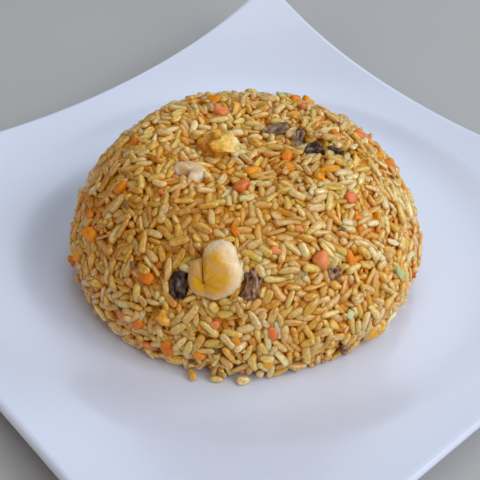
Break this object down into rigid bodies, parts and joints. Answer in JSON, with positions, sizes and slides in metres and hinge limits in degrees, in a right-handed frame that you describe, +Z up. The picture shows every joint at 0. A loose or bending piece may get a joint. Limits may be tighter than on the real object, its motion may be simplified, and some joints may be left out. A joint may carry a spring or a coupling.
{
  "type": "fried rice plate",
  "caption": "Bowl-moulded mound of shrimp, beef and egg fried rice turned out on a square white dish with raised corners.",
  "frame": {"origin": "middle of the dish, on the surface that its foot ring stands on", "axes": "+Z up; the sides of the dish run along X and Y, and the shown side of the mound faces between +X and -Y"},
  "size_m": [0.2998, 0.2998, 0.0732],
  "materials": {
    "glaze": "glossy white glaze over a pale body",
    "rice": "cooked golden tan rice grains, lightly oiled",
    "shrimp": "cooked cream and orange flesh, moist",
    "egg": "fried yellow egg with pale edges, moist",
    "beef": "browned fibrous meat, slightly greasy"
  },
  "bodies": {
    "root": {"dish": "glaze", "rice_mound": "rice", "shrimp_front": "shrimp", "shrimp_crown": "shrimp", "shrimp_foot": "shrimp", "egg_crown": "egg", "egg_shoulder": "egg", "egg_front": "egg", "beef_front_left": "beef", "beef_front_middle": "beef", "beef_right": "beef", "beef_foot": "beef", "beef_crown_left": "beef", "beef_crown_right": "beef", "beef_slice_back": "beef", "beef_slice_side": "beef"}
  },
  "joints": []
}
